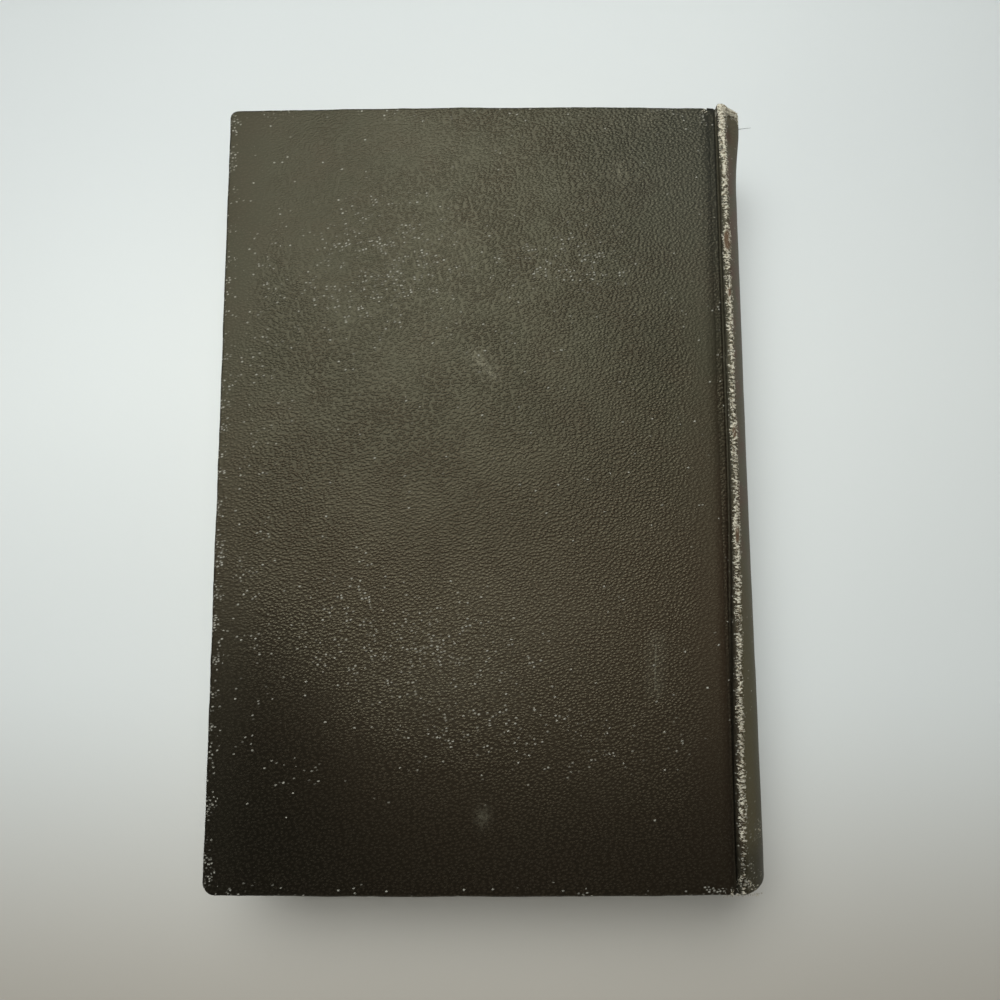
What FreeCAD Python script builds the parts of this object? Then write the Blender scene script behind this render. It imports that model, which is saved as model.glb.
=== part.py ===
import FreeCAD, Part
import math
import os

# A hardback book, closed, lying on its front cover. Millimetres.
# X runs from the fore edge (minus) to the spine (plus), Y from the tail (minus) to the head (plus), Z up.
# The origin is the middle of the book in plan, on the surface it lies on.

# Covers
COVER_HEIGHT = 195.0        # head to tail, over the cloth
COVER_WIDTH = 124.5         # fore edge to joint edge, over the cloth
BOARD = 2.5                 # binder's board
CLOTH = 0.4                 # cover cloth
ENDPAPER = 0.2              # flyleaf and pastedown paper
TURN_IN = 15.0              # cloth folded over the board's inner face
PASTEDOWN_MARGIN = 3.0      # bare turn-in left round the pastedown
FLAP_WIDTH = 22.0           # mull glued to the board's inner face
CORNER_HEAD = 2.0           # fore-edge corner of a cover at the head
CORNER_TAIL = 3.0           # the same at the tail, knocked rounder
CORNER_JOINT = 1.5          # corners beside the groove
EDGE_ROUND = 0.8            # rounding of a cover's edges, over the cloth
BEVEL_WIDTH = 2.5           # slope pared along a cover's joint edge, outer side
BEVEL_DEPTH = 0.7           # how far the slope has sunk at the edge

# Warp of the back cover: an arc about a line along the book
CROWN_RADIUS = 2050.0
CROWN_SETBACK = 45.75       # from the joint edge to the crown's highest line

# Pages
BLOCK_THICKNESS = 22.0      # all the pages at the crown's highest line
SQUARE = 3.0                # how far the covers stand beyond the pages
FORE_EDGE_HOLLOW = 2.5      # depth of the hollow fore edge

# Joints and spine
RUNNING_GAP = 0.3           # between a cover and what it closes against
GROOVE_WIDTH = 2.2          # from a cover's joint edge to the shoulder's cloth
RIDGE_DROP = 0.6            # how far a ridge lies inside the cover's outer level
SHOULDER_TIP_RADIUS = 0.7   # rounding of the backed shoulders
SPINE_REACH = 9.5           # how far the round spine stands beyond the joint edges
SPINE_CORNER_HEAD = 3.2     # rounding of the spine's head end, seen in plan
SPINE_CORNER_TAIL = 4.3     # the same at the tail
MULL = 0.2                  # open-weave cloth on the block's spine
LINING = 0.3                # kraft paper over the mull
STIFFENER = 0.5             # card strip inside the spine cloth
HOLLOW = 1.5                # free space between lining and stiffener at mid spine
MULL_CLEARANCE = 1.0        # from the ends of the mull to the turn-ins
STIFFENER_MARGIN = 3.0      # from a ridge's centre to the stiffener's long edge
LINING_MARGIN = 2.0         # from a ridge's centre to the lining's long edge
BAND_MARGIN = 3.6           # from a ridge's centre to the end of a head or tail band
BAND_RADIUS = 0.8           # bead of the head and tail bands
BAND_TAPE = 0.3             # thickness of the tape below the bead
BAND_TAPE_HEIGHT = 8.0      # length of tape glued to the block's spine

# Depths below a cover's outer face, one for each layer boundary
BOARD_TOP = CLOTH
BOARD_FOOT = BOARD_TOP + BOARD
TURN_IN_FOOT = BOARD_FOOT + CLOTH
FLYLEAF_TOP = TURN_IN_FOOT + ENDPAPER + RUNNING_GAP
BLOCK_TOP = FLYLEAF_TOP + ENDPAPER
GROOVE_MULL_TOP = FLYLEAF_TOP - MULL
GROOVE_CLOTH_TOP = GROOVE_MULL_TOP - CLOTH

# Places in plan and height
THICKNESS = BLOCK_THICKNESS + 2 * BLOCK_TOP
MID_Z = THICKNESS / 2
FORE_X = -(COVER_WIDTH + SPINE_REACH) / 2
JOINT_X = FORE_X + COVER_WIDTH
SPINE_X = JOINT_X + SPINE_REACH
HALF_HEIGHT = COVER_HEIGHT / 2
PAGE_X = FORE_X + SQUARE
PAGE_Y = HALF_HEIGHT - SQUARE
CROWN_X = JOINT_X - CROWN_SETBACK
MULL_Y = HALF_HEIGHT - TURN_IN - MULL_CLEARANCE
FLAP_EDGE_X = JOINT_X - EDGE_ROUND

# The ridges: one tip centre near each cover, with every layer wrapped round it
TIP_MULL = SHOULDER_TIP_RADIUS + MULL
TIP_CLOTH = TIP_MULL + CLOTH
TIP_X = JOINT_X + GROOVE_WIDTH + TIP_CLOTH
TIP_Z = MID_Z - RIDGE_DROP - TIP_CLOTH

# How far the two spine arcs bulge beyond the tip centres
CLOTH_SAGITTA = SPINE_X - TIP_CLOTH - TIP_X
BLOCK_SPINE_X = SPINE_X - CLOTH - STIFFENER - HOLLOW - LINING - MULL
BLOCK_SAGITTA = BLOCK_SPINE_X - SHOULDER_TIP_RADIUS - TIP_X

# Each cover turns about the middle of its groove, level with its own outer face
HINGE_X = JOINT_X + GROOVE_WIDTH / 2

# Reach of cutting solids beyond the book
SPARE = 5.0


# Basic solids

def rectangle_plan(x0, x1, half_y, corners=(0, 0, 0, 0)):
    """Rectangle in plan; corner radii in the order fore tail, joint tail, joint head, fore head."""
    points = [(x0, -half_y), (x1, -half_y), (x1, half_y), (x0, half_y)]
    ways = [(1, 0), (0, 1), (-1, 0), (0, -1)]
    ends = []
    edges = []
    for index, (x, y) in enumerate(points):
        radius = corners[index]
        came = ways[index - 1]
        goes = ways[index]
        start = FreeCAD.Vector(x - radius * came[0], y - radius * came[1], 0)
        end = FreeCAD.Vector(x + radius * goes[0], y + radius * goes[1], 0)
        if radius > 0:
            dip = radius * (1 - math.sqrt(0.5))
            middle = FreeCAD.Vector(x + dip * (goes[0] - came[0]), y + dip * (goes[1] - came[1]), 0)
            edges.append(Part.Arc(start, middle, end).toShape())
        ends.append((start, end))
    for index in range(len(points)):
        edges.append(Part.LineSegment(ends[index - 1][1], ends[index][0]).toShape())
    return Part.Face(Part.Wire(Part.__sortEdges__(edges)))


def prism(plan, z0, z1):
    """Upright solid over a plan face."""
    solid = plan.extrude(FreeCAD.Vector(0, 0, z1 - z0))
    solid.translate(FreeCAD.Vector(0, 0, z0))
    return solid


def round_bar(x, z, radius, half_y):
    """Cylinder along the book's height."""
    foot = FreeCAD.Vector(x, -half_y, z)
    return Part.makeCylinder(radius, 2 * half_y, foot, FreeCAD.Vector(0, 1, 0))


def box(x0, x1, y0, y1, z0, z1):
    return Part.makeBox(x1 - x0, y1 - y0, z1 - z0, FreeCAD.Vector(x0, y0, z0))


def under_crown(depth):
    """All that lies under the back's warped surface, sunk by a depth."""
    return round_bar(CROWN_X, THICKNESS - CROWN_RADIUS, CROWN_RADIUS - depth, HALF_HEIGHT + SPARE)


def crown_height(x, depth):
    """Height of that surface at one place."""
    return THICKNESS - CROWN_RADIUS + math.sqrt((CROWN_RADIUS - depth) ** 2 - (x - CROWN_X) ** 2)


# Flat layers

def back_layer(plan, outer, inner):
    """Warped sheet between two depths below the back's outer face."""
    return prism(plan, 0, THICKNESS + SPARE).common(under_crown(outer)).cut(under_crown(inner))


def front_layer(plan, outer, inner):
    """Flat sheet between two depths inside the front's outer face."""
    return prism(plan, outer, inner)


def between_covers(plan, depth):
    """Everything inside one depth from both outer faces."""
    return prism(plan, depth, THICKNESS + SPARE).common(under_crown(depth))


# Spine sections

def arc_radius(half_chord, sagitta):
    return (half_chord ** 2 + sagitta ** 2) / (2 * sagitta)


def spine_section(sagitta, growth):
    """Section of the spine: round to the right, upright to the left, with rounded ridges."""
    radius = arc_radius(TIP_Z, sagitta)
    centre_x = TIP_X + sagitta - radius
    lean = math.atan2(TIP_Z, TIP_X - centre_x)

    def on_tip(angle, side):
        x = TIP_X + growth * math.cos(angle)
        z = MID_Z + side * (TIP_Z + growth * math.sin(angle))
        return FreeCAD.Vector(x, 0, z)

    bulge = FreeCAD.Vector(centre_x + radius + growth, 0, MID_Z)
    half_way = (lean + math.pi) / 2
    edges = [
        Part.Arc(on_tip(lean, -1), bulge, on_tip(lean, 1)).toShape(),
        Part.Arc(on_tip(lean, 1), on_tip(half_way, 1), on_tip(math.pi, 1)).toShape(),
        Part.LineSegment(on_tip(math.pi, 1), on_tip(math.pi, -1)).toShape(),
        Part.Arc(on_tip(math.pi, -1), on_tip(half_way, -1), on_tip(lean, -1)).toShape(),
    ]
    return Part.Face(Part.Wire(edges))


def spine_bar(sagitta, growth, half_y):
    """That section carried along the book's height."""
    face = spine_section(sagitta, growth)
    face.translate(FreeCAD.Vector(0, -half_y, 0))
    return face.extrude(FreeCAD.Vector(0, 2 * half_y, 0))


def spine_strip(sagitta, outer, inner, margin, y0, y1):
    """Curved strip between two growths of a spine arc, its long edges a margin inside the ridges."""
    radius = arc_radius(TIP_Z, sagitta)
    centre_x = TIP_X + sagitta - radius
    half_y = HALF_HEIGHT + SPARE
    ring = round_bar(centre_x, MID_Z, radius + outer, half_y)
    ring = ring.cut(round_bar(centre_x, MID_Z, radius + inner, half_y))
    half_width = TIP_Z - margin
    return ring.common(box(JOINT_X, SPINE_X + SPARE, y0, y1, MID_Z - half_width, MID_Z + half_width))


# Covers

def cover_plan(inset):
    """Outline of a cover, drawn in by an inset."""
    corners = [CORNER_TAIL, CORNER_JOINT, CORNER_JOINT, CORNER_HEAD]
    corners = [radius - inset for radius in corners]
    return rectangle_plan(FORE_X + inset, JOINT_X - inset, HALF_HEIGHT - inset, corners)


def joint_wedge(layer, depth):
    """What is pared away along a cover's joint edge, outward of a depth."""
    x0 = JOINT_X - BEVEL_WIDTH
    x1 = JOINT_X + SPARE
    if layer is back_layer:
        z0 = crown_height(x0, depth)
        z1 = crown_height(JOINT_X, depth) - BEVEL_DEPTH
        away = SPARE
    else:
        z0 = depth
        z1 = depth + BEVEL_DEPTH
        away = -SPARE
    z1 = z0 + (z1 - z0) * (x1 - x0) / BEVEL_WIDTH
    corners = [(x0, z0), (x1, z1), (x1, z0 + away), (x0, z0 + away), (x0, z0)]
    half_y = HALF_HEIGHT + SPARE
    section = Part.makePolygon([FreeCAD.Vector(x, -half_y, z) for x, z in corners])
    return Part.Face(section).extrude(FreeCAD.Vector(0, 2 * half_y, 0))


def cover_board(layer):
    board = layer(cover_plan(CLOTH), BOARD_TOP, BOARD_FOOT)
    return board.cut(joint_wedge(layer, BOARD_TOP))


def cover_envelope(layer):
    """Outside of a covered board: all its long edges rounded, the joint edge sloped."""
    sheet = layer(cover_plan(0), 0, TURN_IN_FOOT)
    rims = [edge for edge in sheet.Edges if edge.BoundBox.ZLength < BOARD / 2]
    return sheet.makeFillet(EDGE_ROUND, rims).cut(joint_wedge(layer, 0))


def cover_cloth(layer):
    """Cloth over the board's face and edges, turned in on three sides."""
    cloth = cover_envelope(layer).cut(cover_board(layer))
    window = rectangle_plan(FORE_X + TURN_IN, JOINT_X + SPARE, HALF_HEIGHT - TURN_IN)
    return cloth.cut(layer(window, BOARD_FOOT, TURN_IN_FOOT + SPARE))


def mull_flap(layer):
    """Mull glued to the board's inner face beside the joint."""
    plan = rectangle_plan(FLAP_EDGE_X - FLAP_WIDTH, FLAP_EDGE_X, MULL_Y)
    return layer(plan, BOARD_FOOT, BOARD_FOOT + MULL)


def pastedown(layer):
    """Endpaper glued over the board, stepping up over the turn-ins and the mull."""
    half_y = HALF_HEIGHT - PASTEDOWN_MARGIN
    sheet = rectangle_plan(FORE_X + PASTEDOWN_MARGIN, FLAP_EDGE_X, half_y)
    bare_board = rectangle_plan(FORE_X + TURN_IN + ENDPAPER, FLAP_EDGE_X, HALF_HEIGHT - TURN_IN - ENDPAPER)
    over_flap = rectangle_plan(FLAP_EDGE_X - FLAP_WIDTH - ENDPAPER, FLAP_EDGE_X, MULL_Y + ENDPAPER)
    paper = layer(sheet, BOARD_FOOT, BOARD_FOOT + ENDPAPER)
    paper = paper.fuse(layer(sheet.cut(bare_board).Faces[0], BOARD_FOOT, TURN_IN_FOOT + ENDPAPER))
    paper = paper.fuse(layer(over_flap, BOARD_FOOT, BOARD_FOOT + MULL + ENDPAPER))
    return paper.cut(cover_cloth(layer)).cut(mull_flap(layer))


# Pages and what is glued to them

def text_block():
    """The sewn pages: round spine with shoulders, hollow fore edge, back face under the crown."""
    pages = between_covers(rectangle_plan(PAGE_X, TIP_X, PAGE_Y), BLOCK_TOP)
    pages = pages.fuse(spine_bar(BLOCK_SAGITTA, SHOULDER_TIP_RADIUS, PAGE_Y))
    top = crown_height(PAGE_X, BLOCK_TOP)
    radius = arc_radius((top - BLOCK_TOP) / 2, FORE_EDGE_HOLLOW)
    hollow_x = PAGE_X + FORE_EDGE_HOLLOW - radius
    pages = pages.cut(round_bar(hollow_x, (top + BLOCK_TOP) / 2, radius, HALF_HEIGHT))
    return pages.removeSplitter()


def flyleaf(layer):
    plan = rectangle_plan(PAGE_X, TIP_X - SHOULDER_TIP_RADIUS, PAGE_Y)
    return layer(plan, FLYLEAF_TOP, BLOCK_TOP)


def wrap(sagitta, tip_outer, tip_inner, depth_outer, depth_inner, half_y):
    """Sheet from one groove over both ridges and the spine to the other groove."""
    plan = rectangle_plan(JOINT_X + RUNNING_GAP, TIP_X, half_y)
    outer = between_covers(plan, depth_outer).fuse(spine_bar(sagitta, tip_outer, half_y))
    inner = between_covers(plan, depth_inner).fuse(spine_bar(sagitta, tip_inner, half_y))
    return outer.cut(inner)


def spine_mull():
    tips = (TIP_MULL, SHOULDER_TIP_RADIUS)
    return wrap(BLOCK_SAGITTA, *tips, GROOVE_MULL_TOP, FLYLEAF_TOP, MULL_Y)


def spine_lining():
    return spine_strip(BLOCK_SAGITTA, TIP_MULL + LINING, TIP_MULL, LINING_MARGIN, -MULL_Y, MULL_Y)


def band(end):
    """Band at one end of the block's spine: a bead on the page ends and a tape glued below it."""
    radius = arc_radius(TIP_Z, BLOCK_SAGITTA)
    centre_x = TIP_X + BLOCK_SAGITTA - radius
    surface = radius + SHOULDER_TIP_RADIUS
    bead_y = PAGE_Y + BAND_RADIUS
    tape = spine_strip(BLOCK_SAGITTA, SHOULDER_TIP_RADIUS + BAND_TAPE, SHOULDER_TIP_RADIUS, BAND_MARGIN,
                       PAGE_Y - BAND_TAPE_HEIGHT, bead_y)
    bead = Part.makeTorus(surface + BAND_TAPE - BAND_RADIUS, BAND_RADIUS,
                          FreeCAD.Vector(centre_x, bead_y, MID_Z), FreeCAD.Vector(0, 1, 0))
    half_width = TIP_Z - BAND_MARGIN
    bead = bead.common(box(JOINT_X, SPINE_X, PAGE_Y, HALF_HEIGHT, MID_Z - half_width, MID_Z + half_width))
    whole = tape.fuse(bead).removeSplitter()
    return whole if end > 0 else whole.mirror(FreeCAD.Vector(0, 0, 0), FreeCAD.Vector(0, 1, 0))


# Cover cloth round the spine

def spine_outline(inset):
    """Plan of the spine cloth with its worn, rounded ends, drawn in by an inset."""
    corners = (0, SPINE_CORNER_TAIL - inset, SPINE_CORNER_HEAD - inset, 0)
    return rectangle_plan(JOINT_X - SPARE, SPINE_X - inset, HALF_HEIGHT - inset, corners)


def in_outline(solid, inset):
    return solid.common(prism(spine_outline(inset), -SPARE, THICKNESS + SPARE))


def stiffener_strip(outer, inner, y0, y1):
    return spine_strip(CLOTH_SAGITTA, outer, inner, STIFFENER_MARGIN, y0, y1)


def spine_cloth():
    """Cloth from groove to groove, folded in over the stiffener at head and tail."""
    cloth = wrap(CLOTH_SAGITTA, TIP_CLOTH, TIP_MULL, GROOVE_CLOTH_TOP, GROOVE_MULL_TOP, HALF_HEIGHT)
    cloth = in_outline(cloth, 0)
    turned_face = TIP_MULL - STIFFENER
    for end in (-1, 1):
        near = end * (HALF_HEIGHT - TURN_IN)
        far = end * HALF_HEIGHT
        span = (min(near, far), max(near, far))
        fold = in_outline(stiffener_strip(TIP_MULL, turned_face - CLOTH, *span), 0)
        inside = in_outline(stiffener_strip(TIP_MULL, turned_face, -HALF_HEIGHT, HALF_HEIGHT), CLOTH)
        cloth = cloth.fuse(fold.cut(inside))
    return cloth.removeSplitter()


def spine_stiffener():
    strip = stiffener_strip(TIP_MULL, TIP_MULL - STIFFENER, -HALF_HEIGHT, HALF_HEIGHT)
    return in_outline(strip, CLOTH)


# Write each piece

pieces = {
    "text_block": text_block(),
    "spine_mull": spine_mull(),
    "spine_lining": spine_lining(),
    "head_band": band(1),
    "tail_band": band(-1),
    "spine_cloth": spine_cloth(),
    "spine_stiffener": spine_stiffener(),
}
for side, layer in (("back", back_layer), ("front", front_layer)):
    pieces[side + "_flyleaf"] = flyleaf(layer)
    pieces[side + "_board"] = cover_board(layer)
    pieces[side + "_cloth"] = cover_cloth(layer)
    pieces[side + "_mull_flap"] = mull_flap(layer)
    pieces[side + "_pastedown"] = pastedown(layer)

print("hinge axes along Y at x", HINGE_X, "and z", THICKNESS, "(back cover) or 0 (front cover)")
os.makedirs("parts", exist_ok=True)
for node, shape in pieces.items():
    bounds = shape.BoundBox
    print(node, "solids", len(shape.Solids), "valid", shape.isValid(), "volume", round(shape.Volume, 1),
          "z", round(bounds.ZMin, 2), round(bounds.ZMax, 2))
    shape.exportStep("parts/" + node + ".step")
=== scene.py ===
import bpy
import random
from math import atan2, copysign, cos, exp, hypot, pi, radians, sin, sqrt
from random import uniform
from types import SimpleNamespace
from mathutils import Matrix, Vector, noise


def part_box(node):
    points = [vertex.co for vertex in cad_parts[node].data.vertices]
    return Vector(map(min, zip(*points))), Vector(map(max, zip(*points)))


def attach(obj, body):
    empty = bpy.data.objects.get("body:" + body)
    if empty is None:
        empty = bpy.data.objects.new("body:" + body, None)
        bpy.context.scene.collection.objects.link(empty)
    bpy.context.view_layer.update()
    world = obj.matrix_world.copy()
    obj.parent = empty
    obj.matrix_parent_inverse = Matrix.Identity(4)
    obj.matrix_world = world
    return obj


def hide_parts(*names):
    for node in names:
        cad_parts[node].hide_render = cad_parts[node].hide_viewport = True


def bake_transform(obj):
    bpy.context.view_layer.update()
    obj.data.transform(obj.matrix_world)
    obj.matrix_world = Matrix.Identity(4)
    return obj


# A worn cloth-bound book lying closed on its front cover. Helper functions work in millimetres.

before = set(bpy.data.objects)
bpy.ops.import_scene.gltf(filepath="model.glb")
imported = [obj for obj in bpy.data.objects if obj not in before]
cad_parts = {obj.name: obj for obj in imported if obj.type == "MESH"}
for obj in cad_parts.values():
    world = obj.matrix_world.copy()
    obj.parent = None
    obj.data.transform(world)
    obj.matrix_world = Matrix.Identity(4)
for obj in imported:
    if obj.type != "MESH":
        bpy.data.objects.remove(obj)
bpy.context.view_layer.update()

MM = 0.001


def node_box(node):
    low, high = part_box(node)
    return [value / MM for value in low], [value / MM for value in high]


# Places read from the frame

back_low, back_high = node_box("back_cloth")
spine_high = node_box("spine_cloth")[1]
block_low, block_high = node_box("text_block")
leaf_low, leaf_high = node_box("front_flyleaf")
mull_low, mull_high = node_box("spine_mull")
FORE_X = back_low[0]
JOINT_X = back_high[0]
SPINE_X = spine_high[0]
HALF_HEIGHT = back_high[1]
THICKNESS = back_high[2]
MID_Z = THICKNESS / 2
PAGE_X = block_low[0]
PAGE_Y = block_high[1]
BLOCK_FOOT = leaf_high[2]
FLYLEAF_FOOT = leaf_low[2]

# Sizes shared with the solids
CLOTH = 0.4
BOARD_FOOT = 2.9
TURN_IN = 15.0
TURN_IN_FOOT = 3.3
MULL = 0.2
ENDPAPER = 0.2
PASTEDOWN_MARGIN = 3.0
FLAP_WIDTH = 22.0
GROOVE_DEPTH = 3.2
GROOVE_WIDTH = 2.2
RIDGE_RADIUS = 1.3
RIDGE_DROP = 0.6
SPINE_CORNER_HEAD = 3.2
SPINE_CORNER_TAIL = 4.3
FOLD_THICKNESS = 1.3
CROWN_RADIUS = 2050.0
CROWN_X = JOINT_X - 45.75
CORNER_RADII = (3.0, 1.5, 1.5, 2.0)
FLAP_EDGE_X = JOINT_X - 0.8

# Camera at the photograph's angle
CAMERA_PLACE = (2.72, -24.12, 212.49)
CAMERA_TURNS = (6.019, -0.07, -0.174)
FRAME_PIXELS = 1000
FOCUS_PIXELS = 751
SENSOR = 36.0


def add_object(name, data, place=(0, 0, 0), turns=(0, 0, 0)):
    """Puts an object into the scene, its place in millimetres."""
    made = bpy.data.objects.new(name, data)
    made.location = Vector(place) * MM
    made.rotation_euler = turns
    bpy.context.collection.objects.link(made)
    return made


def make_camera():
    data = bpy.data.cameras.new("camera")
    data.sensor_width = SENSOR
    data.lens = SENSOR * FOCUS_PIXELS / FRAME_PIXELS
    data.clip_start = 0.01
    turns = [radians(turn) for turn in CAMERA_TURNS]
    bpy.context.scene.camera = add_object("camera", data, CAMERA_PLACE, turns)


make_camera()


# Small mathematics

QUARTER = pi / 2


def clamp(value, low=0.0, high=1.0):
    return max(low, min(high, value))


def smooth(value, low, high):
    t = clamp((value - low) / (high - low))
    return t * t * (3 - 2 * t)


def blend(a, b, t):
    return a + (b - a) * t


def spaced(start, end, steps):
    """Evenly spaced values, both ends included."""
    return [blend(start, end, step / steps) for step in range(steps + 1)]


def ripple(x, y, size, seed=0.0):
    """Smooth noise between about -1 and 1 with features of a given size."""
    return noise.noise(Vector((x / size, y / size, seed)))


def spot(x, y, place, reach):
    """Soft oval spot: 1 at its middle, fading over its reach."""
    across = (x - place[0]) / reach[0]
    along = (y - place[1]) / reach[1]
    return exp(-across * across - along * along)


def crown_drop(x):
    return CROWN_RADIUS - sqrt(CROWN_RADIUS ** 2 - (x - CROWN_X) ** 2)


def level(side, x, depth):
    """Height of a layer at a depth inside a cover's outer face."""
    return THICKNESS - crown_drop(x) - depth if side == "back" else depth


# Mesh helper

def add_piece(name, points, faces, material, marks=None, flip=False, smooth_faces=True):
    """Mesh from points in millimetres; marks are named values for each point, numbers or vectors."""
    if flip:
        faces = [face[::-1] for face in faces]
    mesh = bpy.data.meshes.new(name)
    mesh.from_pydata([[value * MM for value in point] for point in points], [], faces)
    for mark, values in (marks or {}).items():
        if isinstance(values[0], (int, float)):
            mesh.attributes.new(mark, "FLOAT", "POINT").data.foreach_set("value", values)
        else:
            flat = [number for value in values for number in value]
            mesh.attributes.new(mark, "FLOAT_VECTOR", "POINT").data.foreach_set("vector", flat)
    mesh.polygons.foreach_set("use_smooth", [smooth_faces] * len(mesh.polygons))
    mesh.materials.append(material)
    mesh.update()
    return add_object(name, mesh)


def grid_faces(rows, columns, closed=False, first=0):
    """Quads of a grid stored row by row from a first point; closed joins the last column to the first."""
    faces = []
    for row in range(rows - 1):
        for column in range(columns if closed else columns - 1):
            beside = (column + 1) % columns
            a = first + row * columns + column
            b = first + row * columns + beside
            faces.append((a, b, b + columns, a + columns))
    return faces


def tube_faces(rows, columns, first=0):
    """Faces of a tube made of closed rows of points, with both ends capped."""
    last = first + (rows - 1) * columns
    faces = grid_faces(rows, columns, closed=True, first=first)
    faces.append(tuple(range(first, first + columns))[::-1])
    faces.append(tuple(range(last, last + columns)))
    return faces


# Material helper

class Graph:
    """Node tree of a material or a world, built from short calls."""

    def __init__(self, owner):
        owner.use_nodes = True
        self.owner = owner
        self.tree = owner.node_tree
        self.shader = self.tree.nodes.get("Principled BSDF")

    def feed(self, socket, value):
        if isinstance(value, bpy.types.NodeSocket):
            self.tree.links.new(value, socket)
        else:
            socket.default_value = value

    def add(self, kind, inputs, **settings):
        made = self.tree.nodes.new("ShaderNode" + kind)
        for key, value in settings.items():
            setattr(made, key, value)
        for socket, value in inputs.items():
            self.feed(made.inputs[socket], value)
        return made

    def mark(self, name):
        return self.add("Attribute", {}, attribute_name=name).outputs["Fac"]

    def mark_vector(self, name):
        return self.add("Attribute", {}, attribute_name=name).outputs["Vector"]

    def maths(self, operation, *values):
        return self.add("Math", dict(enumerate(values)), operation=operation).outputs[0]

    def in_turn(self, operation, values):
        """One operation over several values, from the first to the last."""
        total = values[0]
        for value in values[1:]:
            total = self.maths(operation, total, value)
        return total

    def sum(self, *values):
        return self.in_turn("ADD", values)

    def times(self, *values):
        return self.in_turn("MULTIPLY", values)

    def larger(self, *values):
        return self.in_turn("MAXIMUM", values)

    def vectors(self, operation, *values, output="Vector"):
        return self.add("VectorMath", dict(enumerate(values)), operation=operation).outputs[output]

    def scaled(self, vector, factor):
        return self.add("VectorMath", {0: vector, "Scale": factor}, operation="SCALE").outputs[0]

    def axes(self, vector):
        return self.add("SeparateXYZ", {0: vector}).outputs

    def place(self):
        """Position on the piece itself, in millimetres."""
        return self.scaled(self.add("TexCoord", {}).outputs["Object"], 1 / MM)

    def step(self, value, low, high, start=0.0, end=1.0):
        """Smooth change from start to end while value goes from low to high."""
        inputs = {"Value": value, "From Min": low, "From Max": high, "To Min": start, "To Max": end}
        return self.add("MapRange", inputs, interpolation_type="SMOOTHSTEP").outputs[0]

    def noise(self, vector, scale, detail=2.0, rough=0.5):
        inputs = {"Vector": vector, "Scale": scale, "Detail": detail, "Roughness": rough}
        return self.add("TexNoise", inputs).outputs["Fac"]

    def stretched(self, vector, scale, turn=0.0):
        inputs = {"Vector": vector, "Scale": scale, "Rotation": (0, 0, radians(turn))}
        return self.add("Mapping", inputs, vector_type="TEXTURE").outputs[0]

    def mix(self, factor, a, b):
        node = self.add("Mix", {}, data_type="RGBA")
        self.feed(node.inputs[0], factor)
        self.feed(node.inputs[6], a)
        self.feed(node.inputs[7], b)
        return node.outputs[2]

    def shade(self, factor, colour):
        """Colour multiplied by a number."""
        colour = colour[:3] if isinstance(colour, tuple) else colour
        return self.scaled(colour, factor)

    def off_line(self, vector, start, end):
        """Distance of a place from a straight line between two points."""
        way = (end[0] - start[0], end[1] - start[1], 0.0)
        square = way[0] ** 2 + way[1] ** 2
        gap = self.vectors("SUBTRACT", vector, (*start, 0.0))
        share = self.vectors("DOT_PRODUCT", gap, way, output="Value")
        share = self.add("Clamp", {0: self.times(share, 1 / square)}).outputs[0]
        rest = self.vectors("SUBTRACT", gap, self.scaled(way, share))
        return self.vectors("LENGTH", rest, output="Value")

    def bump(self, height, depth, under=None):
        inputs = {"Height": height, "Distance": depth * MM}
        if under is not None:
            inputs["Normal"] = under
        return self.add("Bump", inputs).outputs[0]

    def finish(self, colour, roughness, normal, shine):
        inputs = self.shader.inputs
        self.feed(inputs["Base Color"], colour)
        self.feed(inputs["Roughness"], roughness)
        self.feed(inputs["Normal"], normal)
        self.feed(inputs["Specular IOR Level"], shine)
        return self.owner


def material_graph(name):
    return Graph(bpy.data.materials.new(name))


# Cover cloth: dark pebbled book cloth, rubbed pale where it wears

CLOTH_OLIVE = (0.0190, 0.0172, 0.0098, 1)
CLOTH_BROWN = (0.0225, 0.0165, 0.0096, 1)
CLOTH_RUSSET = (0.0275, 0.0160, 0.0088, 1)
CLOTH_RUBBED = (0.085, 0.078, 0.055, 1)
CLOTH_SHEEN = (1.0, 0.95, 0.64, 1)
# painted reflection: cool cast of the window's sky on the cloth near the head
CLOTH_PAINTED_REFLECTION = (0.034, 0.040, 0.036, 1)
SPINE_BROWN = (0.084, 0.070, 0.043, 1)
SPINE_RED = (0.095, 0.056, 0.038, 1)
SPINE_OLIVE = (0.080, 0.066, 0.032, 1)
LOOSE_THREAD = (0.055, 0.060, 0.048, 1)
SPECK = (0.35, 0.34, 0.285, 1)
BARE_THREAD = (0.62, 0.585, 0.465, 1)
BARE_SHADE = (0.17, 0.14, 0.09, 1)
TORN_INSIDE = (0.105, 0.066, 0.040, 1)
CLOTH_SHINE = 0.40

# The grain: a pebble's size, the slant and drift of its rows, a step towards the window for the painted
# emboss shading, relief depths
PEBBLE_SIZE = (0.92, 0.6, 1.0)
PEBBLE_SLANT = 14
ROW_DRIFT = 1.6
PAINTED_EMBOSS_STEP = (-0.09, 0.24, 0.0)
GRAIN_DEPTH = 0.105
THREAD_DEPTH = 0.22

# Scratches on the back cover: from, to, half width
SCRATCHES = (
    ((33.7, 80.6), (34.4, 78.2), 0.16),
    ((40.4, 94.6), (43.2, 96.4), 0.14),
    ((40.3, -38.7), (39.8, -50.5), 0.12),
    ((-3.4, 31.8), (1.6, 26.2), 0.5),
)


def pebble_cells(g, place):
    rows = g.stretched(place, PEBBLE_SIZE, PEBBLE_SLANT)
    inputs = {"Vector": rows, "Scale": 1.0, "Randomness": 1.0}
    return g.add("TexVoronoi", inputs, voronoi_dimensions="2D").outputs


def dome_height(g, cells):
    return g.step(cells["Distance"], 0.05, 0.6, 1.0, 0.0)


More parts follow.
